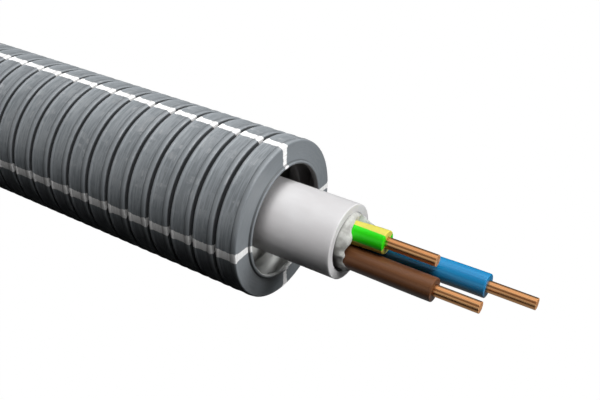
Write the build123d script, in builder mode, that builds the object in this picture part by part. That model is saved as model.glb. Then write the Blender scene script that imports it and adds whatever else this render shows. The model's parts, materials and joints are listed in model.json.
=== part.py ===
"""Prewired conduit: a corrugated plastic conduit with a three-core installation cable in it.

Millimetres. X runs along the conduit and out of its stripped end, Z is up.
The origin is the middle of the end face of the last rib, where the cable comes out.
"""

from math import cos, radians, sin, sqrt
import os

from build123d import *

# Conduit: a thin wall that follows hollow ribs
conduit_length = 1000.0
conduit_radius = 10.0
conduit_wall = 0.4
rib_count = 300
rib_width = 2.84
rib_edge_radius = 0.2
groove_radius = 7.45
end_stub = 0.3

# Cable: sheath, filler and three insulated cores laid side by side
cable_radius = 4.6
sheath_wall = 1.0
sheath_reach = 8.9
filler_recess = 0.9
insulation_radius = 1.4
conductor_radius = 0.69
core_gap = 0.05
first_core_turn = 94.2

# Each core past the sheath: length of insulation, length of bare wire, and how far the core
# spreads sideways and upwards on the way to its strip point
green_yellow_exposed = 4.9
green_yellow_bare = 6.15
green_yellow_spread = (0.09, 0.2)
brown_exposed = 11.7
brown_bare = 5.3
brown_spread = (-0.25, 0.09)
blue_exposed = 16.35
blue_bare = 5.5
blue_spread = (0.42, 0.11)

# Lie of the cable: on the floor of the bore, then up to the middle of the mouth
cable_clearance = 0.3
mouth_lift = 0.2
rise_start = 130.0
rise_end = 12.0

# Worked out from the sizes above
bore_radius = groove_radius - conduit_wall
rib_pitch = conduit_length / rib_count
far_end = -conduit_length
rest_height = cable_radius + cable_clearance - bore_radius
sheath_bore = cable_radius - sheath_wall
filler_end = sheath_reach - filler_recess
core_circle_radius = (2 * insulation_radius + core_gap) / sqrt(3)
third = 360 / 3

cores = {
    "green_yellow": (first_core_turn, green_yellow_exposed, green_yellow_bare, green_yellow_spread),
    "brown": (first_core_turn + third, brown_exposed, brown_bare, brown_spread),
    "blue": (first_core_turn + 2 * third, blue_exposed, blue_bare, blue_spread),
}


def core_centre(angle):
    """Middle of a core in the cable's section, as (y, z) from the cable's axis."""
    return (core_circle_radius * cos(radians(angle)), core_circle_radius * sin(radians(angle)))


def cable_path(reach):
    """The cable's axis: along the bore's floor, up through two tangent arcs and out to reach."""
    middle = (-(rise_start + rise_end) / 2, (rest_height + mouth_lift) / 2)
    with BuildLine(Plane.XZ) as path:
        Line((far_end, rest_height), (-rise_start, rest_height))
        bend = TangentArc((-rise_start, rest_height), middle, tangent=(1, 0))
        TangentArc(middle, (-rise_end, mouth_lift), tangent=(1, bend.tangent_at(1).Z / bend.tangent_at(1).X))
        Line((-rise_end, mouth_lift), (reach, mouth_lift))
    return path.wire()


def spread_path(angle, strip_point, spread, bare):
    """A core's axis past the filler: two tangent arcs to its strip point, then the bare wire."""
    y, z = core_centre(angle)
    start = Vector(filler_end, y, z + mouth_lift)
    strip = Vector(strip_point, start.Y + spread[0], start.Z + spread[1])
    middle = (start + strip) / 2
    with BuildLine() as path:
        bend = TangentArc(start, middle, tangent=(1, 0, 0))
        TangentArc(middle, strip, tangent=bend % 1)
        if bare:
            Line(strip, strip + Vector(bare, 0, 0))
    return path.wire()


def core_piece(angle, exposed, spread, bare, outer, inner):
    """A tube or rod along one core: down the cable, then out to its own end."""
    far_section = Plane(origin=(far_end, 0, rest_height), x_dir=(0, 1, 0), z_dir=(1, 0, 0))
    near_section = Plane(origin=(filler_end, 0, mouth_lift), x_dir=(0, 1, 0), z_dir=(1, 0, 0))
    legs = (
        (far_section, cable_path(filler_end)),
        (near_section, spread_path(angle, sheath_reach + exposed, spread, bare)),
    )
    with BuildPart() as piece:
        for plane, path in legs:
            with BuildSketch(plane):
                with Locations(core_centre(angle)):
                    Circle(outer)
                    if inner:
                        Circle(inner, mode=Mode.SUBTRACT)
            sweep(path=path)
    return piece.part


section = Plane(origin=(far_end, 0, rest_height), x_dir=(0, 1, 0), z_dir=(1, 0, 0))

# One rib with the groove behind it: the outer line has rounded crest edges, and the inner line
# leaves the rib hollow
with BuildPart() as rib:
    with BuildSketch(Plane.XY):
        with BuildLine():
            front = Line((0, groove_radius), (0, conduit_radius - rib_edge_radius))
            edge = RadiusArc(front @ 1, (-rib_edge_radius, conduit_radius), -rib_edge_radius)
            crest = Line(edge @ 1, (rib_edge_radius - rib_width, conduit_radius))
            back = RadiusArc(crest @ 1, (-rib_width, conduit_radius - rib_edge_radius), -rib_edge_radius)
            Polyline(
                back @ 1,
                (-rib_width, groove_radius),
                (-rib_pitch, groove_radius),
                (-rib_pitch, bore_radius),
                (conduit_wall - rib_width, bore_radius),
                (conduit_wall - rib_width, conduit_radius - conduit_wall),
                (-conduit_wall, conduit_radius - conduit_wall),
                (-conduit_wall, bore_radius),
                (0, bore_radius),
                (0, groove_radius),
            )
        make_face()
    revolve(axis=Axis.X)

# Conduit: the rib repeated, and the stub left of the groove that the conduit was cut in
with BuildPart() as conduit:
    with Locations(*[(-number * rib_pitch, 0, 0) for number in range(rib_count)]):
        add(rib.part)
    with BuildSketch(Plane.YZ):
        Circle(groove_radius)
        Circle(bore_radius, mode=Mode.SUBTRACT)
    extrude(amount=end_stub)
conduit.part.label = "conduit"

# Cable sheath
with BuildPart() as cable_sheath:
    with BuildSketch(section):
        Circle(cable_radius)
        Circle(sheath_bore, mode=Mode.SUBTRACT)
    sweep(path=cable_path(sheath_reach))
cable_sheath.part.label = "cable_sheath"

# Filler: everything inside the sheath that the cores leave
with BuildPart() as filler:
    with BuildSketch(section):
        Circle(sheath_bore)
        with Locations(*[core_centre(core[0]) for core in cores.values()]):
            Circle(insulation_radius, mode=Mode.SUBTRACT)
    sweep(path=cable_path(filler_end))
filler.part.label = "filler"

pieces = [conduit.part, cable_sheath.part, filler.part]

# Cores: a coloured insulation and a solid copper conductor each
for colour, (angle, exposed, bare, spread) in cores.items():
    insulation = core_piece(angle, exposed, spread, 0, insulation_radius, conductor_radius)
    insulation.label = f"insulation_{colour}"
    conductor = core_piece(angle, exposed, spread, bare, conductor_radius, 0)
    conductor.label = f"conductor_{colour}"
    pieces += [insulation, conductor]

os.makedirs("parts", exist_ok=True)
for piece in pieces:
    export_step(piece, f"parts/{piece.label}.step")
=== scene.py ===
"""Looks of a prewired conduit: a corrugated grey conduit with a stripped three-core cable in it.

Metres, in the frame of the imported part: X runs along the conduit and out of its stripped end,
Z is up, and the origin is the middle of the end face of the last rib.
"""

from __future__ import annotations

import json
import logging
import math
from dataclasses import dataclass, field
from enum import Enum

import bpy
import numpy as np
from bpy.types import Material, Node, NodeTree, Object
from bpy.types import NodeSocket as Socket
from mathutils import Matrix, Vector

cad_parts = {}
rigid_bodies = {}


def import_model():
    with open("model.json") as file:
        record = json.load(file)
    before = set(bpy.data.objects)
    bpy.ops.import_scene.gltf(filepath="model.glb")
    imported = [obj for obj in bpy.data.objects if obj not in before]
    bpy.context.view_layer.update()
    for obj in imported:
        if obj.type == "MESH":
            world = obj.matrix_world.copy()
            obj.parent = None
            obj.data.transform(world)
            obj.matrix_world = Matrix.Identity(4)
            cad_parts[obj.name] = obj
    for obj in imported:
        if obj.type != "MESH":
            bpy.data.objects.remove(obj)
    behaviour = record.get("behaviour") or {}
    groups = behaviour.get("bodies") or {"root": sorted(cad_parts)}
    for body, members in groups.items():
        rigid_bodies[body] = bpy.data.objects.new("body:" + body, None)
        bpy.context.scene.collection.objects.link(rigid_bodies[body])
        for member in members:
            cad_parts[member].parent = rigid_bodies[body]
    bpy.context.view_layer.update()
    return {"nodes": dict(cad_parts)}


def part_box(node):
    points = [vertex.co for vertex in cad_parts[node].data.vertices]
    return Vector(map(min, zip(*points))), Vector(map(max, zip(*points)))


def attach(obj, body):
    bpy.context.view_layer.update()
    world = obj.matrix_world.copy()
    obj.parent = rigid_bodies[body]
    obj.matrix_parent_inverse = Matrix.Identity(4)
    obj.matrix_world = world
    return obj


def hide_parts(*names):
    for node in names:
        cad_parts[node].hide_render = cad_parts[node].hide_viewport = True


MM = 0.001
TURN = 2 * math.pi
NEAR_ZERO = 0.001 * MM
# Waves in one turn of each sine that a ragged line is made of
WAVE_COUNTS = (3, 7, 13, 29, 53)
# Angle of the first core round the cable's axis, in degrees
FIRST_CORE_TURN = 94.2
WHITE = (1.0, 1.0, 1.0, 1.0)
log = logging.getLogger("prewired_conduit")

Array = np.ndarray
Rgba = tuple[float, float, float, float]
Triple = tuple[float, float, float]
Pair = tuple[float, float]
Inputs = dict[int | str, object]


# Numbers and arrays


def arc_points(centre: Pair, radius: float, start: float, end: float, count: int) -> Array:
    """Points of an arc in the (x, r) plane: centre + radius * (cos a, sin a), a from start to end.

    Args:
        centre: Middle of the arc as (x, r).
        radius: Radius of the arc.
        start: First angle in degrees, 0 along +x and 90 along +r.
        end: Last angle in degrees.
        count: Number of points.

    Returns:
        An array of count rows (x, r).
    """
    a = np.radians(np.linspace(start, end, count))
    return np.column_stack([centre[0] + radius * np.cos(a), centre[1] + radius * np.sin(a)])


def outer_corner(x: float, r: float, radius: float, count: int) -> Array:
    """Rounds the corner (x, r) between an end face and the outside behind it, with count points."""
    return arc_points((x - radius, r - radius), radius, 0, 90, count)


def level(x: Array, r: float) -> Array:
    """Rows of (x, r) that keep one radius."""
    return np.column_stack([x, np.full(len(x), r)])


def angles(around: int) -> Array:
    """Angles of one full round in equal steps, from 0."""
    return np.arange(around) * TURN / around


def turned(profile: Array, around: int) -> Array:
    """Turns a profile about X: (x, r) goes to (x, r cos a, r sin a) for a round the full circle.

    Args:
        profile: Rows of (x, r).
        around: Number of points round the circle.

    Returns:
        An array of shape (rows, around, 3).
    """
    a = angles(around)
    x = np.repeat(profile[:, :1], around, axis=1)
    return np.stack([x, profile[:, 1:] * np.cos(a), profile[:, 1:] * np.sin(a)], axis=-1)


def double_bend(x: Array, start: float, end: float, rise: float) -> tuple[Array, Array]:
    """Climb along two equal arcs that leave start level and reach end level, rise higher.

    The arcs have the radius (h^2 + d^2) / 2d, where h is half the length and d half the rise, and
    meet in the middle with one tangent.

    Args:
        x: Places along X.
        start: Where the first arc starts.
        end: Where the second arc ends.
        rise: How far it climbs in all.

    Returns:
        The climb and the angle above level at each x.
    """
    half, step = (end - start) / 2, rise / 2
    radius = (half**2 + step**2) / (2 * step)
    before = x < start + half
    run = np.where(before, np.clip(x - start, 0, half), np.clip(end - x, 0, half))
    climb = radius - np.sqrt(radius**2 - run**2)
    return np.where(before, climb, rise - climb), np.arcsin(run / radius)


def waves(a: Array, seed: int, count: int) -> Array:
    """A wavy curve that repeats every turn: a sum of sines with seeded phases, between -1 and 1.

    Args:
        a: Angles in radians.
        seed: Seed of the phases.
        count: Number of sines, each with about twice the waves of the one before.

    Returns:
        Values of the curve at a.
    """
    phases = np.random.default_rng(seed).uniform(0, TURN, count)
    shares = 1 / np.arange(1, count + 1)
    total = sum(share * np.sin(n * a + p) for share, n, p in zip(shares, WAVE_COUNTS, phases))
    return total / shares.sum()


# Meshes


def linked(name: str, data: bpy.types.ID) -> Object:
    """Makes an object and links it into the scene.

    Args:
        name: Its name.
        data: What it holds, such as a mesh.

    Returns:
        The new object.
    """
    made = bpy.data.objects.new(name, data)
    bpy.context.collection.objects.link(made)
    return made


def surface(name: str, points: Array, closed_profile: bool) -> Object:
    """Makes a closed mesh from a grid of points that is always closed round its second axis.

    Row i and column j of the grid become one vertex. A closed profile joins the last row to the
    first, like a tyre. An open one has its first and last rows on the axis, and each of those
    rows becomes one pole vertex with a fan of triangles.

    Args:
        name: Name of the new object.
        points: Array of shape (rows, columns, 3).
        closed_profile: True to join the last row to the first.

    Returns:
        The new object, smooth shaded.
    """
    columns = points.shape[1]
    body = points if closed_profile else points[1:-1]
    count = body.shape[0]
    grid = np.arange(count * columns).reshape(count, columns)
    if closed_profile:
        grid = np.vstack([grid, grid[:1]])
    right = np.roll(grid, -1, axis=1)
    quads = np.stack([grid[:-1], right[:-1], right[1:], grid[1:]], axis=-1).reshape(-1, 4)
    vertices = body.reshape(-1, 3)
    corners = [quads.reshape(-1)]
    sizes = [np.full(len(quads), 4)]
    if not closed_profile:
        first, last = len(vertices), len(vertices) + 1
        vertices = np.vstack([vertices, points[0, 0], points[-1, 0]])
        head = np.stack([np.full(columns, first), np.roll(grid[0], -1), grid[0]], axis=-1)
        tail = np.stack([np.full(columns, last), grid[-1], np.roll(grid[-1], -1)], axis=-1)
        corners += [head.reshape(-1), tail.reshape(-1)]
        sizes.append(np.full(2 * columns, 3))
    corner = np.concatenate(corners).astype(np.int32)
    size = np.concatenate(sizes).astype(np.int32)
    mesh = bpy.data.meshes.new(name)
    mesh.vertices.add(len(vertices))
    mesh.vertices.foreach_set("co", vertices.astype(np.float32).reshape(-1))
    mesh.loops.add(len(corner))
    mesh.loops.foreach_set("vertex_index", corner)
    mesh.polygons.add(len(size))
    mesh.polygons.foreach_set("loop_start", np.concatenate([[0], np.cumsum(size)[:-1]]).astype(np.int32))
    mesh.update(calc_edges=True)
    mesh.validate()
    mesh.shade_smooth()
    return linked(name, mesh)


# Materials


class Nodes:
    """Adds nodes to one material or group and joins them.

    A value is an output of another node, which is linked, or a plain value, which is set.
    """

    def __init__(self, tree: NodeTree) -> None:
        """Keeps the tree that nodes go into."""
        self.tree = tree

    def add(self, kind: str, inputs: Inputs | None = None, **settings: object) -> Node:
        """Adds one node.

        Args:
            kind: The node's type name, such as ShaderNodeMath.
            inputs: Values for its inputs, by number or name.
            settings: Properties set on the node.

        Returns:
            The new node.
        """
        node = self.tree.nodes.new(kind)
        for key, value in settings.items():
            setattr(node, key, value)
        self.feed(node, inputs or {})
        return node

    def feed(self, node: Node, inputs: Inputs) -> None:
        """Gives a node values for its inputs.

        Args:
            node: The node.
            inputs: The values, by the input's number or name.
        """
        for key, value in inputs.items():
            if isinstance(value, Socket):
                self.tree.links.new(value, node.inputs[key])
            else:
                node.inputs[key].default_value = value

    def math(self, operation: str, *values: object, clamp: bool = False) -> Socket:
        """Adds a Math node.

        Args:
            operation: The node's operation, such as MULTIPLY.
            values: Its inputs.
            clamp: True to keep the result between 0 and 1.

        Returns:
            The result.
        """
        inputs = dict(enumerate(values))
        return self.add("ShaderNodeMath", inputs, operation=operation, use_clamp=clamp).outputs[0]

    def plus(self, first: object, second: object) -> Socket:
        """Adds two values."""
        return self.math("ADD", first, second)

    def minus(self, first: object, second: object, clamp: bool = False) -> Socket:
        """Takes the second value from the first."""
        return self.math("SUBTRACT", first, second, clamp=clamp)

    def product(self, first: object, *others: object) -> Socket:
        """Multiplies values.

        Args:
            first: The first value.
            others: The values it is multiplied by.

        Returns:
            The product.
        """
        for other in others:
            first = self.math("MULTIPLY", first, other)
        return first

    def rest(self, value: object) -> Socket:
        """What is left of 1 beside value."""
        return self.minus(1.0, value)

    def away(self, value: object, centre: float) -> Socket:
        """Distance of value from centre."""
        return self.math("ABSOLUTE", self.minus(value, centre))

    def split(self, vector: object) -> tuple[Socket, Socket, Socket]:
        """Splits a vector into x, y and z."""
        return tuple(self.add("ShaderNodeSeparateXYZ", {0: vector}).outputs)

    def place(self, kind: str = "Object") -> Socket:
        """The shaded point, as the Texture Coordinate node's output of that kind."""
        return self.add("ShaderNodeTexCoord").outputs[kind]

    def smooth(self, value: object, low: float, high: float, to_low: float = 0.0,
               to_high: float = 1.0) -> Socket:
        """Maps value smoothly from the range low..high to to_low..to_high.

        Args:
            value: The input.
            low: Where the step starts.
            high: Where the step ends.
            to_low: Result below low.
            to_high: Result above high.

        Returns:
            The mapped value.
        """
        inputs = dict(enumerate((value, low, high, to_low, to_high)))
        return self.add("ShaderNodeMapRange", inputs, interpolation_type="SMOOTHSTEP").outputs[0]

    def mix(self, factor: object, first: object, second: object) -> Socket:
        """Mixes two colours.

        Args:
            factor: How much of the second colour.
            first: First colour, as an output or four numbers.
            second: Second colour.

        Returns:
            The mixed colour.
        """
        # A Mix node numbers its inputs and outputs over all data types
        return self.add("ShaderNodeMix", {0: factor, 6: first, 7: second}, data_type="RGBA").outputs[2]

    def noise(self, vector: object, scale: Triple, detail: float = 4.0, roughness: float = 0.55) -> Socket:
        """Adds a noise texture, about 0.5 on average.

        Args:
            vector: Where it is read.
            scale: How far vector is stretched along each axis first: more gives finer noise.
            detail: Number of finer layers.
            roughness: How strong the finer layers are.

        Returns:
            The noise.
        """
        mapped = self.add("ShaderNodeMapping", {"Vector": vector, "Scale": scale}).outputs[0]
        inputs = {"Vector": mapped, "Scale": 1.0, "Detail": detail, "Roughness": roughness}
        return self.add("ShaderNodeTexNoise", inputs).outputs[0]

    def bump(self, height: object, distance: float, strength: float) -> Socket:
        """Adds a Bump node on height, with distance in metres, and returns its normal."""
        inputs = {"Height": height, "Distance": distance, "Strength": strength}
        return self.add("ShaderNodeBump", inputs).outputs[0]


def new_material(name: str) -> tuple[Material, Nodes, Node]:
    """Makes a material with one Principled BSDF.

    Args:
        name: Name of the material.

    Returns:
        The material, its node builder and the BSDF node.
    """
    material = bpy.data.materials.new(name)
    material.use_nodes = True
    return material, Nodes(material.node_tree), material.node_tree.nodes["Principled BSDF"]


def soft(weight: float, reach: float) -> Inputs:
    """Lets light spread below the surface, as it does in soft plastic.

    Args:
        weight: Share of light that enters.
        reach: How far it spreads, in metres.

    Returns:
        The inputs of a Principled BSDF that say so.
    """
    return {"Subsurface Weight": weight, "Subsurface Radius": (1.0, 1.0, 1.0), "Subsurface Scale": reach}


def rgba(red: float, green: float, blue: float) -> Rgba:
    """Turns an sRGB colour into a linear colour with alpha 1.

    Args:
        red: Red from 0 to 255.
        green: Green from 0 to 255.
        blue: Blue from 0 to 255.

    Returns:
        The linear colour.
    """
    parts = [c / 255 for c in (red, green, blue)]
    linear = [c / 12.92 if c <= 0.04045 else ((c + 0.055) / 1.055) ** 2.4 for c in parts]
    return (*linear, 1.0)


def round_axis_group() -> NodeTree:
    """Builds the shared group that gives a streak vector and the angle round X.

    Outputs: Around, a vector (x - r, cos a, sin a) that has no seam and changes along a wall as well
    as up a flank; Angle in radians; Radius and Along in metres.

    Returns:
        The node group.
    """
    tree = bpy.data.node_groups.new("round_axis", "ShaderNodeTree")
    for name, kind in (("Around", "Vector"), ("Angle", "Float"), ("Radius", "Float"), ("Along", "Float")):
        tree.interface.new_socket(name=name, in_out="OUTPUT", socket_type=f"NodeSocket{kind}")
    for name in ("Axis Height", "Axis Side"):
        tree.interface.new_socket(name=name, in_out="INPUT", socket_type="NodeSocketFloat")
    n = Nodes(tree)
    given = n.add("NodeGroupInput").outputs
    along, side, height = n.split(n.place())
    y = n.minus(side, given["Axis Side"])
    z = n.minus(height, given["Axis Height"])
    # Kept off zero, where a point has no angle
    radius = n.math("MAXIMUM", n.math("SQRT", n.plus(n.product(y, y), n.product(z, z))), NEAR_ZERO)
    around = {0: n.minus(along, radius), 1: n.math("DIVIDE", y, radius), 2: n.math("DIVIDE", z, radius)}
    n.add("NodeGroupOutput", {
        "Around": n.add("ShaderNodeCombineXYZ", around).outputs[0],
        "Angle": n.math("ARCTAN2", z, y),
        "Radius": radius,
        "Along": along,
    })
    return tree


def add_round_axis(n: Nodes, axis: Pair = (0.0, 0.0)) -> bpy.types.bpy_prop_collection:
    """Places the shared round_axis group.

    Args:
        n: Builder of the material that takes the group.
        axis: Y and Z of the axis, in metres.

    Returns:
        The group's outputs.
    """
    tree = bpy.data.node_groups.get("round_axis") or round_axis_group()
    inputs = {"Axis Side": axis[0], "Axis Height": axis[1]}
    return n.add("ShaderNodeGroup", inputs, node_tree=tree).outputs


class RibZones:
    """Places and masks on the conduit, as shader outputs. A mask is 1 inside its zone, 0 outside.

    The masks are skin, on a rib's crest, outside, on its crest and flanks, end_face, on the cut
    front, and on_crest, which is skin without the end face. Rough is the strength of the streaks, weaker on
    the far side, which that paints lighter as sheen.
    """

    def __init__(self, n: Nodes, conduit: "Conduit", far_side_sheen_streaks: float) -> None:
        """Adds the nodes that tell where on the conduit a point is.

        Args:
            n: The material's node builder.
            conduit: The conduit that wears the material.
            far_side_sheen_streaks: Strength of the streaks on the far side, where the near side is 1; the far
                side is painted lighter as sheen.
        """
        self.n, self.conduit = n, conduit
        outer, half_rib = conduit.outer, conduit.rib_width / 2
        place = add_round_axis(n)
        self.along, self.radius = place["Along"], place["Radius"]
        self.around, self.angle = place["Around"], place["Angle"]
        # Sideways is -1 on the near side and 1 on the far one, upwards is 1 on top and -1 below
        _, self.sideways, self.upwards = n.split(self.around)
        # The streaks fade on the far side, which paints that side lighter as sheen
        self.rough = n.smooth(self.sideways, -0.05, 0.35, 1.0, far_side_sheen_streaks)
        # Distance behind the rib's front face, up to rib_width at its back face
        self.behind = n.math("MODULO", n.product(self.along, -1.0), conduit.pitch)
        self.from_middle = n.away(self.behind, half_rib)
        self.skin = n.smooth(self.radius, outer - conduit.wall, outer - 0.8 * conduit.wall)
        flank = n.smooth(self.from_middle, half_rib - 0.22 * MM, half_rib - 0.10 * MM)
        self.outside = n.math("MAXIMUM", self.skin, flank)
        self.end_face = n.smooth(self.along, -0.10 * MM, -0.02 * MM)
        self.on_crest = n.product(self.skin, n.rest(self.end_face))


@dataclass(frozen=True)
class ConduitFinish:
    """Moulded grey plastic with four white stripes in it, streaks from the mould, and painted shade,
    highlights and sheen.

    A share says how much of a colour goes in, and gloss is the range of the roughness. The near
    side is the one towards -Y.
    """

    grey: Rgba = rgba(131, 136, 140)
    dark_grey: Rgba = rgba(105, 110, 114)
    # Painted shade for the line at the crest's step
    step_shade_grey: Rgba = rgba(84, 88, 91)
    # Painted highlight for the crest shoulders
    shoulder_highlight_grey: Rgba = rgba(129, 134, 138)
    # Painted shade for the grooves and for the crease round the mouth
    hollow_shade_grey: Rgba = rgba(66, 68, 70)
    # Painted sheen, in light scuff marks on the upper crests
    scuff_sheen: Rgba = rgba(176, 178, 180)
    # Painted shade for the bore, and below it a paler painted reflection for the bore's floor
    bore_shade_grey: Rgba = rgba(120, 117, 117)
    bore_floor_reflection: Rgba = rgba(210, 211, 209)
    white: Rgba = rgba(245, 245, 245)
    dull_white: Rgba = rgba(222, 220, 217)
    face_shade_share: float = 0.4
    scuff_sheen_share: float = 0.45
    crease_shade_share: float = 0.75
    crest_streaks: float = 0.75
    other_streaks: float = 0.15
    # Strength of the streaks on the far side, which is painted lighter as sheen
    far_side_sheen_streaks: float = 0.25
    gloss: Pair = (0.30, 0.52)
    specular: float = 0.9
    relief: float = 0.014 * MM
    stripe_turn: float = math.radians(88.9)
    stripe_half: float = 0.52 * MM
    stripe_waist: float = 0.44 * MM
    stripe_wobble: float = 0.34 * MM
    flank_rim: float = 0.38 * MM
    flank_lip: float = 0.30 * MM
    near_flank: float = 1.4
    near_crest: float = 1.22

    def build(self, conduit: "Conduit") -> Material:
        """Makes the material for a conduit's sizes.

        Args:
            conduit: The conduit that wears it.

        Returns:
            The material.
        """
        material, n, bsdf = new_material("conduit_grey")
        zones = RibZones(n, conduit, self.far_side_sheen_streaks)
        stripe = n.product(self.stripe(zones), zones.outside)
        worn = n.noise(zones.around, (6000.0, 3.0, 3.0), 3.0)
        white = n.mix(n.smooth(worn, 0.45, 0.65), self.white, self.dull_white)
        colour = n.mix(stripe, self.plain(zones), white)
        grain = n.noise(zones.around, (4200.0, 7.0, 7.0), 4.0, 0.65)
        height = n.product(grain, n.plus(n.product(zones.skin, zones.rough, 0.9), 0.1))
        n.feed(bsdf, {
            "Base Color": self.hollow_shade_and_reflection(zones, colour, stripe),
            "Roughness": n.smooth(grain, 0.35, 0.65, *self.gloss),
            "Specular IOR Level": self.specular,
            "Normal": n.bump(height, self.relief, 0.7),
        })
        return material

    def plain(self, zones: RibZones) -> Socket:
        """Colours the grey: streaks, a painted highlight on the shoulders, scuff marks of painted sheen on
        the upper crests, and a painted shade line at the front shoulder's step. Painted shade makes the cut
        end face a little darker.

        Args:
            zones: Where on the conduit a point is.

        Returns:
            The grey.
        """
        n, conduit = zones.n, zones.conduit
        streaks = n.noise(zones.around, (3900.0, 3.0, 3.0), 4.0, 0.65)
        patches = n.noise(zones.around, (420.0, 9.0, 9.0))
        share = n.plus(n.product(zones.on_crest, self.crest_streaks), self.other_streaks)
        dark = n.product(n.smooth(streaks, 0.38, 0.60), zones.rough)
        grey = n.mix(n.product(dark, share), self.grey, self.dark_grey)
        front, back = conduit.front_shoulder, conduit.rib_width - conduit.back_shoulder
        # Painted highlight: the shoulders keep a lighter grey, free of the dark streaks
        shoulder = n.math("MAXIMUM", n.smooth(zones.behind, front, front - 0.05 * MM),
                          n.smooth(zones.behind, back, back + 0.05 * MM))
        grey = n.mix(n.product(shoulder, zones.rough, zones.on_crest), grey, self.shoulder_highlight_grey)
        # Light scuff marks only on the upper crests: a painted, broken sheen from above
        sheen_marks = n.product(n.smooth(streaks, 0.48, 0.62), n.smooth(patches, 0.48, 0.62),
                          n.smooth(zones.upwards, -0.1, 0.6), self.scuff_sheen_share, zones.on_crest)
        grey = n.mix(sheen_marks, grey, self.scuff_sheen)
        # Painted shade: a broken dark line where the crest steps down behind the front shoulder
        line = n.smooth(n.away(zones.behind, front + 0.06 * MM), 0.07 * MM, 0.02 * MM)
        line = n.product(line, zones.on_crest, n.smooth(patches, 0.35, 0.55, 0.35, 0.85))
        grey = n.mix(line, grey, self.step_shade_grey)
        # Painted shade: the cut end face is mixed towards the darker grey
        return n.mix(n.product(zones.end_face, self.face_shade_share), grey, self.dark_grey)

    def hollow_shade_and_reflection(self, zones: RibZones, colour: Socket, stripe: Socket) -> Socket:
        """Paints shade into the grooves and the crease round the mouth, and paints the bore in shade, with a
        painted reflection that makes its floor paler.

        Args:
            zones: Where on the conduit a point is.
            colour: The colour of the outside.
            stripe: 1 on a white stripe, which is darkened less.

        Returns:
            The colour with its hollows.
        """
        n, conduit = zones.n, zones.conduit
        outer, bore = conduit.outer, conduit.bore
        # Painted shade that deepens down each groove, weaker on a white stripe
        depth = n.smooth(zones.radius, outer - 0.05 * MM, outer - 0.20 * MM)
        depth = n.product(depth, n.minus(zones.outside, zones.end_face, clamp=True))
        depth = n.product(depth, n.rest(n.product(stripe, 0.6)))
        colour = n.mix(depth, colour, self.hollow_shade_grey)
        # The bore and the rib hollows are painted in shade, with a painted reflection that is paler towards
        # the floor
        wall = n.smooth(zones.radius, bore + 0.12 * MM, bore + 0.04 * MM)
        hollow = n.smooth(zones.radius, outer - 0.2 * MM, outer - 0.3 * MM)
        hollow = n.minus(hollow, zones.outside)
        inside = n.math("MAXIMUM", wall, n.minus(hollow, zones.end_face, clamp=True))
        bore_shade_and_reflection = n.mix(n.smooth(zones.upwards, 0.0, -0.6), self.bore_shade_grey, self.bore_floor_reflection)
        colour = n.mix(inside, colour, bore_shade_and_reflection)
        # A painted shade line on the end face round the mouth, in the crease at the groove
        crease = n.smooth(n.away(zones.radius, conduit.groove + 0.03 * MM), 0.09 * MM, 0.03 * MM)
        return n.mix(n.product(crease, zones.end_face, self.crease_shade_share), colour, self.hollow_shade_grey)

    def stripe(self, zones: RibZones) -> Socket:
        """Masks the four stripes: wide at the ends of each crest with a wavy waist, narrower down a flank.

        Args:
            zones: Where on the conduit a point is.

        Returns:
            The mask, 1 on a stripe.
        """
        n, conduit = zones.n, zones.conduit
        near = n.smooth(zones.sideways, 0.3, -0.7)
        half = n.smooth(zones.from_middle, 0.55 * MM, 1.15 * MM, self.stripe_waist, self.stripe_half)
        half = n.product(half, n.plus(n.product(near, self.near_crest - 1), 1.0))
        flank = n.smooth(zones.radius, conduit.bore, conduit.outer, self.flank_lip, self.flank_rim)
        flank = n.product(flank, n.plus(n.product(near, self.near_flank - 1), 1.0))
        half = n.plus(n.product(zones.skin, n.minus(half, flank)), flank)
        wobble = n.noise(zones.around, (2300.0, 16.0, 16.0), 3.0)
        half = n.plus(half, n.product(n.minus(wobble, 0.5), self.stripe_wobble))
        # The angle is folded into one quarter, so one stripe makes four
        quarter = TURN / 4
        angle = n.plus(zones.angle, TURN + quarter / 2 - self.stripe_turn)
        distance = n.product(n.away(n.math("MODULO", angle, quarter), quarter / 2), zones.radius)
        stripe = n.smooth(n.minus(half, distance), -0.06 * MM, 0.08 * MM)
        return n.product(stripe, n.smooth(zones.radius, conduit.bore + 0.02 * MM, conduit.bore + 0.10 * MM))


@dataclass(frozen=True)
class SheathFinish:
    """Smooth pale grey cable sheath with a faint orange-peel surface."""

    colour: Rgba = rgba(214, 213, 214)
    shade: Rgba = rgba(205, 203, 204)
    specular: float = 0.35

    def build(self) -> Material:
        """Makes the material.

        Returns:
            The material.
        """
        material, n, bsdf = new_material("sheath_pale_grey")
        cloud = n.noise(n.place(), (120.0, 260.0, 260.0), 3.0)
        grain = n.noise(n.place(), (1500.0, 1500.0, 1500.0))
        n.feed(bsdf, {
            "Base Color": n.mix(n.smooth(cloud, 0.35, 0.65), self.colour, self.shade),
            "Roughness": n.plus(n.product(grain, 0.2), 0.40),
            "Specular IOR Level": self.specular,
            "Normal": n.bump(grain, 0.02 * MM, 0.5),
            **soft(0.2, 0.8 * MM),
        })
        return material


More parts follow.
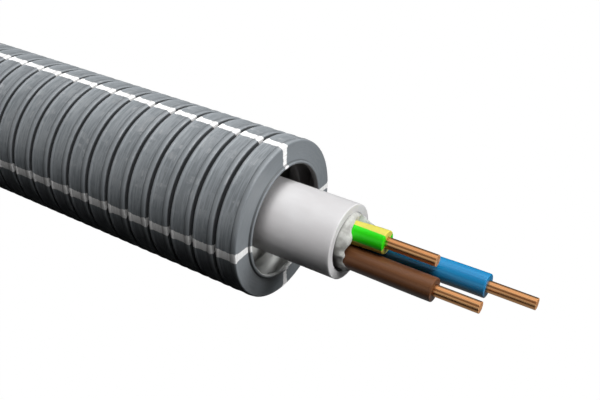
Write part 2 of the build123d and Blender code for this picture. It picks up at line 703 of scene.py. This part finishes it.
@dataclass(frozen=True)
class FillerFinish:
    """White bedding compound, chalky and torn, with painted shade where it sits deep in the sheath and low
    down.
    """

    colour: Rgba = rgba(200, 201, 197)
    shade: Rgba = rgba(158, 158, 153)
    # Colour of the painted shade deep and low in the sheath
    recess: Rgba = rgba(70, 66, 62)
    shade_along: Pair = (9.7 * MM, 8.7 * MM)
    shade_height: Pair = (3.2 * MM, -0.6 * MM)
    roughness: float = 0.7

    def build(self) -> Material:
        """Makes the material. The painted shade sets in from the first place of its ranges to the second.

        Returns:
            The material.
        """
        material, n, bsdf = new_material("filler_white")
        lumps = n.noise(n.place(), (900.0, 900.0, 900.0), 5.0, 0.6)
        colour = n.mix(n.smooth(lumps, 0.3, 0.7), self.shade, self.colour)
        along, _, height = n.split(n.place())
        # Painted shade: darker where the filler sits deep in the sheath and low down
        painted_shade = n.product(n.smooth(along, *self.shade_along), n.smooth(height, *self.shade_height))
        n.feed(bsdf, {
            "Base Color": n.mix(painted_shade, colour, self.recess),
            "Roughness": self.roughness,
            "Normal": n.bump(lumps, 0.12 * MM, 0.8),
            **soft(0.4, 0.6 * MM),
        })
        return material


class CoreColour(Enum):
    """The cores of the cable, each named as its CAD nodes are, in the order round the cable."""

    GREEN_YELLOW = "green_yellow"
    BROWN = "brown"
    BLUE = "blue"


@dataclass(frozen=True)
class InsulationFinish:
    """Coloured core insulation with a soft sheen, plain or with a second colour along it.

    The second colour's spans are pairs of angles in degrees at x = 0, and stripe_twist is how far
    they turn, in degrees for each millimetre. Angles blur over stripe_blur radians to each side.
    """

    colour: Rgba
    shade: Rgba
    roughness: float = 0.32
    softness: float = 0.05
    stripe: Rgba | None = None
    stripe_spans: tuple[Pair, ...] = ()
    stripe_twist: float = 0.0
    stripe_blur: float = 0.02

    def build(self, name: str, axis: Pair) -> Material:
        """Makes the material for a core.

        Args:
            name: Name of the material.
            axis: Y and Z of the core, in metres.

        Returns:
            The material.
        """
        material, n, bsdf = new_material(name)
        place = add_round_axis(n, axis)
        streaks = n.noise(place["Around"], (90.0, 5.0, 5.0))
        colour = n.mix(n.smooth(streaks, 0.3, 0.7), self.colour, self.shade)
        twist = n.product(place["Along"], math.radians(self.stripe_twist) / MM)
        straight = n.minus(place["Angle"], twist)
        for span in self.stripe_spans:
            first, last = np.radians(span).tolist()
            # One and a half turns keep the sum positive and put the span's middle at half a turn
            shifted = n.plus(straight, 1.5 * TURN - (first + last) / 2)
            aside = n.away(n.math("MODULO", shifted, TURN), TURN / 2)
            half = (last - first) / 2
            mask = n.smooth(aside, half + self.stripe_blur, half - self.stripe_blur)
            colour = n.mix(mask, colour, self.stripe)
        n.feed(bsdf, {
            "Base Color": colour,
            "Roughness": n.plus(n.product(streaks, 0.16), self.roughness - 0.08),
            "Normal": n.bump(streaks, 0.02 * MM, 0.4),
            **soft(self.softness, 0.7 * MM),
        })
        return material


@dataclass(frozen=True)
class CopperFinish:
    """Bright drawn copper with fine lines along the wire, and a duller cut end."""

    bright: Rgba = rgba(232, 180, 126)
    dull: Rgba = rgba(196, 126, 78)
    roughness: float = 0.26
    cut_roughness: float = 0.6
    cut_metallic: float = 0.4

    def build(self, name: str, axis: Pair, end: float) -> Material:
        """Makes the material for a wire.

        Args:
            name: Name of the material.
            axis: Y and Z of the wire, in metres.
            end: X of its cut end, in metres.

        Returns:
            The material.
        """
        material, n, bsdf = new_material(name)
        place = add_round_axis(n, axis)
        lines = n.noise(place["Around"], (12.0, 4.5, 4.5), 3.0, 0.6)
        cut = n.smooth(place["Along"], end - 0.06 * MM, end - 0.02 * MM)
        rough = n.plus(n.product(cut, self.cut_roughness - self.roughness), self.roughness)
        n.feed(bsdf, {
            "Base Color": n.mix(n.smooth(lines, 0.42, 0.58), self.bright, self.dull),
            "Metallic": n.minus(1.0, n.product(cut, 1.0 - self.cut_metallic)),
            "Roughness": n.plus(n.product(lines, 0.1), rough),
            "Normal": n.bump(lines, 0.02 * MM, 0.5),
        })
        return material


# Pieces


def add_piece(name: str, points: Array, material: Material, node: str | None,
              closed_profile: bool = True) -> None:
    """Makes a piece from a grid of points, dresses it and ties it to the part.

    Args:
        name: Name of the new object.
        points: The grid.
        material: Its material.
        node: The CAD node that it stands for, or None.
        closed_profile: True to join the grid's last row to the first.
    """
    piece = surface(name, points, closed_profile)
    piece.data.materials.append(material)
    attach(piece, "root")
    if node:
        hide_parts(node)
    log.info("%s: %d faces", piece.name, len(piece.data.polygons))


@dataclass
class Conduit:
    """The corrugated conduit: hollow ribs with grooves between them.

    Each rib near the stripped end has two raised shoulders and a lower middle band between them.
    """

    outer: float
    far_end: float
    ribs: int = 300
    rib_width: float = 2.84 * MM
    groove: float = 7.45 * MM
    wall: float = 0.40 * MM
    stub: float = 0.30 * MM
    lip: float = 0.10 * MM
    edge_radius: float = 0.20 * MM
    hollow_radius: float = 0.18 * MM
    front_shoulder: float = 0.66 * MM
    back_shoulder: float = 0.42 * MM
    front_fall: float = 0.05 * MM
    recess: float = 0.05 * MM
    foot_radius: float = 0.10 * MM
    near_ribs: int = 19
    near_around: int = 136
    far_around: int = 48
    far_pieces: int = 3
    finish: ConduitFinish = field(default_factory=ConduitFinish)

    @property
    def bore(self) -> float:
        """Radius of the bore at the grooves."""
        return self.groove - self.wall

    @property
    def pitch(self) -> float:
        """Distance from one rib to the next."""
        return -self.far_end / self.ribs

    def fine_rib(self) -> Array:
        """Outer profile of one rib from its front foot to its back foot, front face at x = 0.

        A foot fillet, a flank, a crest edge arc, a shoulder, then a slight step down to the
        middle band, and the same mirrored with the back's narrower shoulder.

        Returns:
            Rows of (x, r).
        """
        front = self.half_rib(self.front_shoulder, self.front_fall)
        return self.both_halves(front, self.half_rib(self.back_shoulder, 0.0))

    def both_halves(self, front: Array, back: Array) -> Array:
        """Joins a rib's front half to its back half, which is given as a front one and mirrored."""
        return np.vstack([front, back[::-1] * (-1, 1) - (self.rib_width, 0)])

    def half_rib(self, shoulder: float, fall: float) -> Array:
        """Outer profile from the front foot to the middle band.

        Args:
            shoulder: Width of the raised shoulder.
            fall: How far the shoulder falls off towards the face.

        Returns:
            Rows of (x, r).
        """
        edge, foot, step = self.edge_radius, self.foot_radius, self.recess
        return np.vstack([
            arc_points((foot, self.groove + foot), foot, 270, 180, 4),
            outer_corner(0.0, self.outer - fall, edge, 6),
            [[-shoulder, self.outer], [-shoulder - 0.5 * step, self.outer - 0.7 * step]],
            [[-shoulder - 2.5 * step, self.outer - step]],
        ])

    def plain_rib(self) -> Array:
        """Outer profile of one rib with few points, front face at x = 0.

        Returns:
            Rows of (x, r).
        """
        corner = outer_corner(0.0, self.outer, self.edge_radius, 3)
        half = np.vstack([[[0.0, self.groove]], corner])
        return self.both_halves(half, half)

    def hollow_rib(self, corner: int) -> Array:
        """Inner profile of one rib: up into the hollow and back.

        Args:
            corner: Number of points at each bend.

        Returns:
            Rows of (x, r).
        """
        wall, top, turn = self.wall, self.outer - self.wall, self.hollow_radius
        half = np.vstack([
            arc_points((-wall + turn, self.bore + turn), turn, 270, 180, corner),
            arc_points((-wall - turn, top - turn), turn, 0, 90, corner),
        ])
        return self.both_halves(half, half)

    def repeated(self, rib: Array, first: int, last: int) -> Array:
        """Repeats one rib's profile from rib number first up to, not including, last."""
        shift = np.arange(first, last)[:, None, None] * self.pitch * np.array([1.0, 0.0])
        return (rib[None] - shift).reshape(-1, 2)

    def wall_profile(self, first: int, last: int, fine: bool) -> Array:
        """Closed profile of the wall from rib first up to rib last.

        The outer line runs from the front to the back and the inner line returns. The front of
        the whole conduit has the short stub that is left of the groove it was cut in, with a
        bevelled lip.

        Args:
            first: First rib's number.
            last: One past the last rib's number.
            fine: True for the detailed profile.

        Returns:
            Rows of (x, r).
        """
        rib = self.fine_rib() if fine else self.plain_rib()
        hollow = self.hollow_rib(3 if fine else 1)
        gap = (self.pitch - self.rib_width) / 2
        back = gap - last * self.pitch
        if first:
            front = gap - first * self.pitch
            start, finish = [[front, self.groove]], [[front, self.bore]]
        else:
            front, lip = self.stub, self.lip
            start = [[front, self.groove - lip], [front - lip, self.groove]]
            finish = [[front - lip, self.bore], [front, self.bore + lip]]
        return np.vstack([
            start,
            self.repeated(rib, first, last),
            [[back, self.groove], [back, self.bore]],
            self.repeated(hollow, first, last)[::-1],
            finish,
        ])

    def build(self) -> None:
        """Makes the detailed stripped end and the plainer rest of the conduit."""
        material = self.finish.build(self)
        limits = np.linspace(self.near_ribs, self.ribs, self.far_pieces + 1).astype(int).tolist()
        names = ["conduit_stripped_end"] + [f"conduit_run_{k + 1}" for k in range(self.far_pieces)]
        for name, first, last in zip(names, [0] + limits, limits):
            fine = first == 0
            profile = self.wall_profile(first, last, fine)
            points = turned(profile, self.near_around if fine else self.far_around)
            add_piece(name, points, material, "conduit")


@dataclass
class CableRun:
    """The cable's axis: along the floor of the bore, then up through two arcs to the mouth."""

    far_end: float
    rest: float
    lift: float
    rise_start: float = -130.0 * MM
    rise_end: float = -12.0 * MM
    rise_steps: int = 24

    def height_and_slope(self, x: Array) -> tuple[Array, Array]:
        """Height of the axis and its angle above level at each x."""
        climb, slope = double_bend(x, self.rise_start, self.rise_end, self.lift - self.rest)
        return self.rest + climb, slope

    def stations(self, front: float) -> Array:
        """Places along X where a long piece needs a ring, from front back to the far end."""
        rise = np.linspace(self.rise_end, self.rise_start, self.rise_steps)
        return np.concatenate([[front], rise, [self.far_end]])

    def carried(self, rings: Array, around: int, place: Pair = (0.0, 0.0), way: Pair = (0.0, 0.0),
                spread: tuple[Array, Array] | None = None) -> Array:
        """Carries rings along the axis: each ring stands square to it, at its own place in the section.

        Args:
            rings: Rows of (x, r), the ring's place along X and its radius.
            around: Points round each ring.
            place: Where the line lies in the cable's section, as (y, z).
            way: The whole way that it goes out of the section, as (y, z).
            spread: Each ring's share of that way, and the share's slope over x.

        Returns:
            An array of shape (rows, around, 3).
        """
        x, r = rings[:, 0], rings[:, 1]
        z, slope = self.height_and_slope(x)
        share, rate = spread if spread else (np.zeros_like(x), np.zeros_like(x))
        centre = np.column_stack([
            x - place[1] * np.sin(slope),
            place[0] + way[0] * share,
            z + place[1] * np.cos(slope) + way[1] * share,
        ])
        along = np.column_stack([np.cos(slope), way[0] * rate, np.sin(slope) + way[1] * rate])
        along /= np.linalg.norm(along, axis=1)[:, None]
        across = np.array([0.0, 1.0, 0.0]) - along[:, 1:2] * along
        across /= np.linalg.norm(across, axis=1)[:, None]
        up = np.cross(along, across)
        a = angles(around)
        ring = across[:, None] * np.cos(a)[None, :, None] + up[:, None] * np.sin(a)[None, :, None]
        return centre[:, None] + r[:, None, None] * ring


@dataclass
class Sheath:
    """The cable's round outer sheath, cut square with a slightly rounded edge."""

    run: CableRun
    radius: float
    end: float
    wall: float = 1.0 * MM
    edge: float = 0.11 * MM
    around: int = 128
    finish: SheathFinish = field(default_factory=SheathFinish)

    def build(self) -> None:
        """Makes the sheath as one closed tube."""
        end, edge, inner = self.end, self.edge, self.radius - self.wall
        back = self.run.stations(end - 2 * edge)
        rings = np.vstack([
            outer_corner(end, self.radius, edge, 6),
            level(back, self.radius),
            level(back[::-1], inner),
            arc_points((end - edge, inner + edge), edge, 270, 360, 5),
        ])
        points = self.run.carried(rings, self.around)
        add_piece("cable_sheath_skin", points, self.finish.build(), "cable_sheath")


@dataclass
class TornFiller:
    """The torn edge of the filler: a soft ragged white collar that hugs the cores.

    Bumps are (angle in degrees, width in degrees, size in metres). Reaches are added to the rim's
    place, dents to the skin's radius, and gaps to the depth that covers the space between cores.
    Lumps are waves over the whole surface: (waves in one round, phase, how far the phase moves
    across the rim), each lower the more waves it has. Inside, the collar is tucked back from the
    rim by a share of its length.
    """

    run: CableRun
    outer: float = 3.40 * MM
    lip: float = 0.30 * MM
    cover: float = 1.30 * MM
    root: float = 7.9 * MM
    rim: float = 9.55 * MM
    ragged: float = 0.14 * MM
    tuck: float = 0.3
    reaches: tuple[Triple, ...] = (
        (18, 14, 1.10 * MM), (105, 26, 0.10 * MM), (138, 26, 0.76 * MM),
        (177, 10, 0.45 * MM), (197, 8, -0.12 * MM), (218, 24, 0.90 * MM))
    dents: tuple[Triple, ...] = ((200, 36, -0.29 * MM), (178, 9, 0.12 * MM), (75, 45, 0.24 * MM))
    gaps: tuple[Triple, ...] = ((154, 24, -1.0 * MM),)
    lumps: tuple[Triple, ...] = ((5, 0.3, 5.0), (11, 2.1, -7.0), (19, 4.0, 11.0))
    lump_height: float = 0.35 * MM
    lump_push: float = 0.30 * MM
    lump_shift: int = 17
    around: int = 288
    along: int = 26
    finish: FillerFinish = field(default_factory=FillerFinish)

    def build(self, plug: Object) -> None:
        """Makes the collar as a closed ring whose rim and skin follow seeded waves.

        Args:
            plug: The CAD filler, which wears the same white.
        """
        a = angles(self.around)
        rim = self.rim + self.ragged * waves(a, seed=11, count=3) + self.bumps(a, self.reaches)
        skin = self.outer + self.bumps(a, self.dents)
        cover = self.cover + self.bumps(a, self.gaps)
        # Round the edge: out along the skin, over a soft rim, and back inside towards the cores
        t = np.linspace(0, 1, self.along)[:, None]
        out, back = np.clip(2 * t, 0, 1), np.clip(2 * t - 1, 0, 1)
        share = np.where(t < 0.5, np.sin(out * TURN / 4), 1 - self.tuck * back**2)
        lump = sum(np.sin(n * a + phase + moved * t) / n for n, phase, moved in self.lumps)
        fade = np.sin(t * TURN / 2)
        r = skin - self.lip * out**3 - cover * back + self.lump_height * lump * fade
        push = self.lump_push * np.roll(lump, self.lump_shift, axis=1) * fade
        x = self.root + share * (rim - self.root) + push
        points = np.stack([x, r * np.cos(a), self.run.lift + r * np.sin(a)], axis=-1)
        material = self.finish.build()
        add_piece("filler_torn_edge", points[::-1], material, None)
        plug.data.materials.clear()
        plug.data.materials.append(material)

    @staticmethod
    def bumps(a: Array, listed: tuple[Triple, ...]) -> Array:
        """Adds up round bumps.

        Args:
            a: Angles in radians.
            listed: Rows of (angle, width, size), with the angle and width in degrees.

        Returns:
            The sum of the bumps at a.
        """
        total = np.zeros_like(a)
        for angle, width, size in listed:
            away = np.abs((np.degrees(a) - angle + 180) % 360 - 180)
            total += size * np.exp(-(away / width)**2)
        return total


@dataclass
class Core:
    """One core: a coloured insulation round a solid copper wire.

    The insulation's finish takes as its axis the place after finish_share of the way out.
    """

    colour: CoreColour
    run: CableRun
    angle: float
    way: Pair
    insulation_end: float
    wire_end: float
    insulation: InsulationFinish
    circle: float = 1.6454 * MM
    insulation_radius: float = 1.40 * MM
    wire_radius: float = 0.69 * MM
    spread_start: float = 8.0 * MM
    spread_steps: int = 10
    last_step: float = 0.5 * MM
    edge: float = 0.10 * MM
    burr: float = 0.05 * MM
    finish_share: float = 0.8
    around: int = 72
    copper: CopperFinish = field(default_factory=CopperFinish)

    @property
    def place(self) -> Pair:
        """Where the core lies in the cable's section, as (y, z)."""
        a = math.radians(self.angle)
        return self.circle * math.cos(a), self.circle * math.sin(a)

    def line(self, rings: Array) -> Array:
        """Carries rings along the core: in the cable, then out through two arcs to the strip point.

        Args:
            rings: Rows of (x, r).

        Returns:
            An array of shape (rows, around, 3).
        """
        whole = math.hypot(*self.way)
        climb, slope = double_bend(rings[:, 0], self.spread_start, self.insulation_end, whole)
        spread = (climb / whole, np.tan(slope) / whole)
        return self.run.carried(rings, self.around, self.place, self.way, spread)

    def stations(self, front: float) -> Array:
        """Places along X where the core needs a ring.

        Args:
            front: The first place. The others follow it back to the far end.

        Returns:
            The places.
        """
        last = self.insulation_end - self.last_step
        spread = np.linspace(last, self.spread_start, self.spread_steps)
        return np.concatenate([[front], spread, self.run.stations(front)[1:]])

    def tube(self) -> Array:
        """Closed profile of the insulation, cut square with a rounded edge.

        Returns:
            Rows of (x, r).
        """
        edge, end = self.edge, self.insulation_end
        outer, inner = self.insulation_radius, self.wire_radius
        back = self.stations(end - 2 * edge)
        return np.vstack([
            outer_corner(end, outer, edge, 5),
            level(back, outer),
            level(back[::-1], inner),
            [[end - 0.2 * edge, inner], [end, inner], [end, inner + 0.2 * edge]],
        ])

    def wire(self) -> Array:
        """Profile of the wire, from the middle of its cut end to the middle of its far end.

        Returns:
            Rows of (x, r).
        """
        burr, end, radius = self.burr, self.wire_end, self.wire_radius
        back = self.stations(end - 2 * burr)
        return np.vstack([
            [[end, 0.0], [end, 0.6 * radius], [end, radius - 2 * burr]],
            outer_corner(end, radius, burr, 4),
            level(back, radius),
            [[self.run.far_end, 0.0]],
        ])

    def axis(self, share: float) -> Pair:
        """Y and Z of the core outside the filler, after that share of its way out."""
        side, height = self.place
        return side + share * self.way[0], self.run.lift + height + share * self.way[1]

    def build(self) -> None:
        """Makes the insulation tube and the wire with its cleanly cut end."""
        name = self.colour.value
        points = self.line(self.tube())
        material = self.insulation.build(f"insulation_{name}", self.axis(self.finish_share))
        add_piece(f"insulation_{name}_skin", points, material, f"insulation_{name}")
        points = self.line(self.wire())
        material = self.copper.build(f"copper_{name}", self.axis(1.0), self.wire_end)
        add_piece(f"conductor_{name}_wire", points, material, f"conductor_{name}",
                  closed_profile=False)


# Studio


@dataclass(frozen=True)
class Lamp:
    """One square area lamp that points at the origin, with its side in metres and power in watts.

    It lights only the pieces whose names start with one of lit.
    """

    name: str
    place: Triple
    size: float
    power: float
    lit: tuple[str, ...]

    def hang(self) -> None:
        """Hangs the lamp and links it to the pieces that it lights."""
        data = bpy.data.lights.new(self.name, "AREA")
        data.size = self.size
        data.energy = self.power
        lamp = linked(self.name, data)
        lamp.location = self.place
        lamp.rotation_euler = (-Vector(self.place)).to_track_quat("-Z", "Y").to_euler()
        lamp.visible_glossy = False
        group = bpy.data.collections.new(f"lit_by_{self.name}")
        for piece in bpy.data.objects:
            if piece.type == "MESH" and piece.name.startswith(self.lit):
                group.objects.link(piece)
        lamp.light_linking.receiver_collection = group


@dataclass
class Studio:
    """Camera, floor, world and lamps.

    Two lamps are for the conduit and the cores, one is for the back of the conduit, and two are
    for the sheath and the filler.
    """

    camera_place: Triple = (46.72 * MM, -68.235 * MM, 56.462 * MM)
    azimuth: float = 33.149
    elevation: float = 32.994
    lens: float = 49.90
    floor_size: float = 12.0
    floor_bounce: float = 0.02
    card_glow: float = 0.32
    card_start: float = 6.0 * MM
    card_half: float = 6.0 * MM
    card_fade: float = 21.0 * MM
    sky: float = 0.045
    sky_middle: float = 0.45
    sky_top: float = 1.35
    sky_strip: float = 0.45
    sky_dark: float = 0.20
    lamps: tuple[Lamp, ...] = (
        Lamp("lamp_front", (0.85, 0.52, 0.68), 0.5, 13.3, ("conduit", "conductor", "insulation")),
        Lamp("lamp_ribs", (0.1, -0.035, 0.3), 0.18, 1.12, ("conduit", "conductor", "insulation")),
        Lamp("lamp_back", (-0.6, 0.95, 0.3), 0.6, 4.0, ("conduit_",)),
        Lamp("lamp_collar", (1.0, 0.05, 0.40), 0.5, 8.8, ("cable_sheath", "filler")),
        Lamp("lamp_sheath", (0.1, -0.17, 1.0), 0.6, 10.9, ("cable_sheath", "filler")),
    )

    def camera(self) -> None:
        """Places the camera where the photograph was taken from."""
        data = bpy.data.cameras.new("camera")
        data.lens = self.lens
        data.sensor_width = 36.0
        data.clip_start = 1 * MM
        data.clip_end = 100.0
        camera = linked("camera", data)
        camera.location = self.camera_place
        camera.rotation_euler = (math.radians(90 - self.elevation), 0.0, math.radians(self.azimuth))
        bpy.context.scene.camera = camera

    def floor(self, height: float) -> None:
        """Lays a white floor under the object that throws little light back up at it.

        Reflections see a dark floor with a pale card on it, under the wires: it starts at the
        conduit's mouth and fades out sideways.

        Args:
            height: Z of the floor.
        """
        half = self.floor_size / 2
        mesh = bpy.data.meshes.new("floor")
        corners = [(-half, -half, height), (half, -half, height), (half, half, height), (-half, half, height)]
        mesh.from_pydata(corners, [], [(0, 1, 2, 3)])
        floor = linked("floor", mesh)
        material, n, bsdf = new_material("floor_white")
        ray = n.add("ShaderNodeLightPath").outputs
        along, side, _ = n.split(n.place())
        spread = n.smooth(n.math("ABSOLUTE", side), self.card_fade, self.card_half, 0.0, self.card_glow)
        glow = n.product(ray["Is Glossy Ray"], n.smooth(along, 0.0, self.card_start), spread)
        n.feed(bsdf, {
            "Base Color": (self.floor_bounce,) * 3 + (1.0,),
            "Emission Color": WHITE,
            "Emission Strength": n.plus(ray["Is Camera Ray"], glow),
            "Roughness": 0.9,
            "Specular IOR Level": 0.0,
        })
        mesh.materials.append(material)

    def world(self) -> None:
        """Sets the sky: weak and even as light, white to the camera, and in bands to reflections.

        On the +Y side the bands rise from dark to bright. The -Y side is dark with one strip.
        """
        world = bpy.data.worlds.new("studio")
        world.use_nodes = True
        bpy.context.scene.world = world
        n = Nodes(world.node_tree)
        background = world.node_tree.nodes["Background"]
        ray = n.add("ShaderNodeLightPath").outputs
        _, side, up = n.split(n.place("Generated"))
        behind = n.smooth(side, -0.42, -0.05)
        middle = n.smooth(up, 0.20, 0.50, 0.02, self.sky_middle)
        top = n.smooth(up, 0.66, 0.84, 0.0, self.sky_top - self.sky_middle)
        strip = n.product(n.smooth(up, 0.0, 0.1), n.smooth(up, 0.62, 0.42), self.sky_strip)
        before = n.plus(strip, self.sky_dark)
        bands = n.plus(n.product(behind, n.plus(middle, top)), n.product(n.rest(behind), before))
        mirrored = n.product(ray["Is Glossy Ray"], n.minus(bands, self.sky))
        seen = n.product(ray["Is Camera Ray"], 1.0 - self.sky)
        n.feed(background, {"Color": WHITE, "Strength": n.plus(n.plus(mirrored, self.sky), seen)})

    def build(self, floor_height: float) -> None:
        """Builds the camera, the floor and the world.

        Args:
            floor_height: Z of the floor.
        """
        bpy.context.scene.view_settings.view_transform = "Standard"
        self.camera()
        self.floor(floor_height)
        self.world()

    def light(self) -> None:
        """Hangs every lamp, once the pieces are there."""
        for lamp in self.lamps:
            lamp.hang()


def main() -> None:
    """Loads the frame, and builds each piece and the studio."""
    logging.basicConfig(level=logging.INFO, format="%(name)s %(message)s")
    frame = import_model()
    tube_low, tube_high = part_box("conduit")
    cable_low, cable_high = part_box("cable_sheath")
    studio = Studio()
    studio.build(tube_low.z)
    Conduit(outer=(tube_high.y - tube_low.y) / 2, far_end=tube_low.x).build()
    radius = (cable_high.y - cable_low.y) / 2
    run = CableRun(far_end=cable_low.x, rest=cable_low.z + radius, lift=cable_high.z - radius)
    Sheath(run=run, radius=radius, end=cable_high.x).build()
    TornFiller(run=run).build(frame["nodes"]["filler"])
    finishes = {
        CoreColour.GREEN_YELLOW: InsulationFinish(
            colour=rgba(42, 214, 14), shade=rgba(36, 198, 12), stripe=rgba(202, 194, 84),
            stripe_spans=((7, 94), (172, 275)), stripe_twist=1.5),
        CoreColour.BROWN: InsulationFinish(colour=rgba(100, 64, 38), shade=rgba(90, 56, 34), roughness=0.42),
        CoreColour.BLUE: InsulationFinish(
            colour=rgba(26, 127, 177), shade=rgba(22, 113, 164), roughness=0.24),
    }
    ways = {
        CoreColour.GREEN_YELLOW: (0.09 * MM, 0.20 * MM),
        CoreColour.BROWN: (-0.25 * MM, 0.09 * MM),
        CoreColour.BLUE: (0.42 * MM, 0.11 * MM),
    }
    for number, colour in enumerate(CoreColour):
        angle = FIRST_CORE_TURN + number * 360 / len(CoreColour)
        insulation_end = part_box(f"insulation_{colour.value}")[1].x
        wire_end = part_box(f"conductor_{colour.value}")[1].x
        core = Core(colour, run, angle, ways[colour], insulation_end, wire_end, finishes[colour])
        core.build()
    studio.light()


if __name__ == "__main__":
    main()
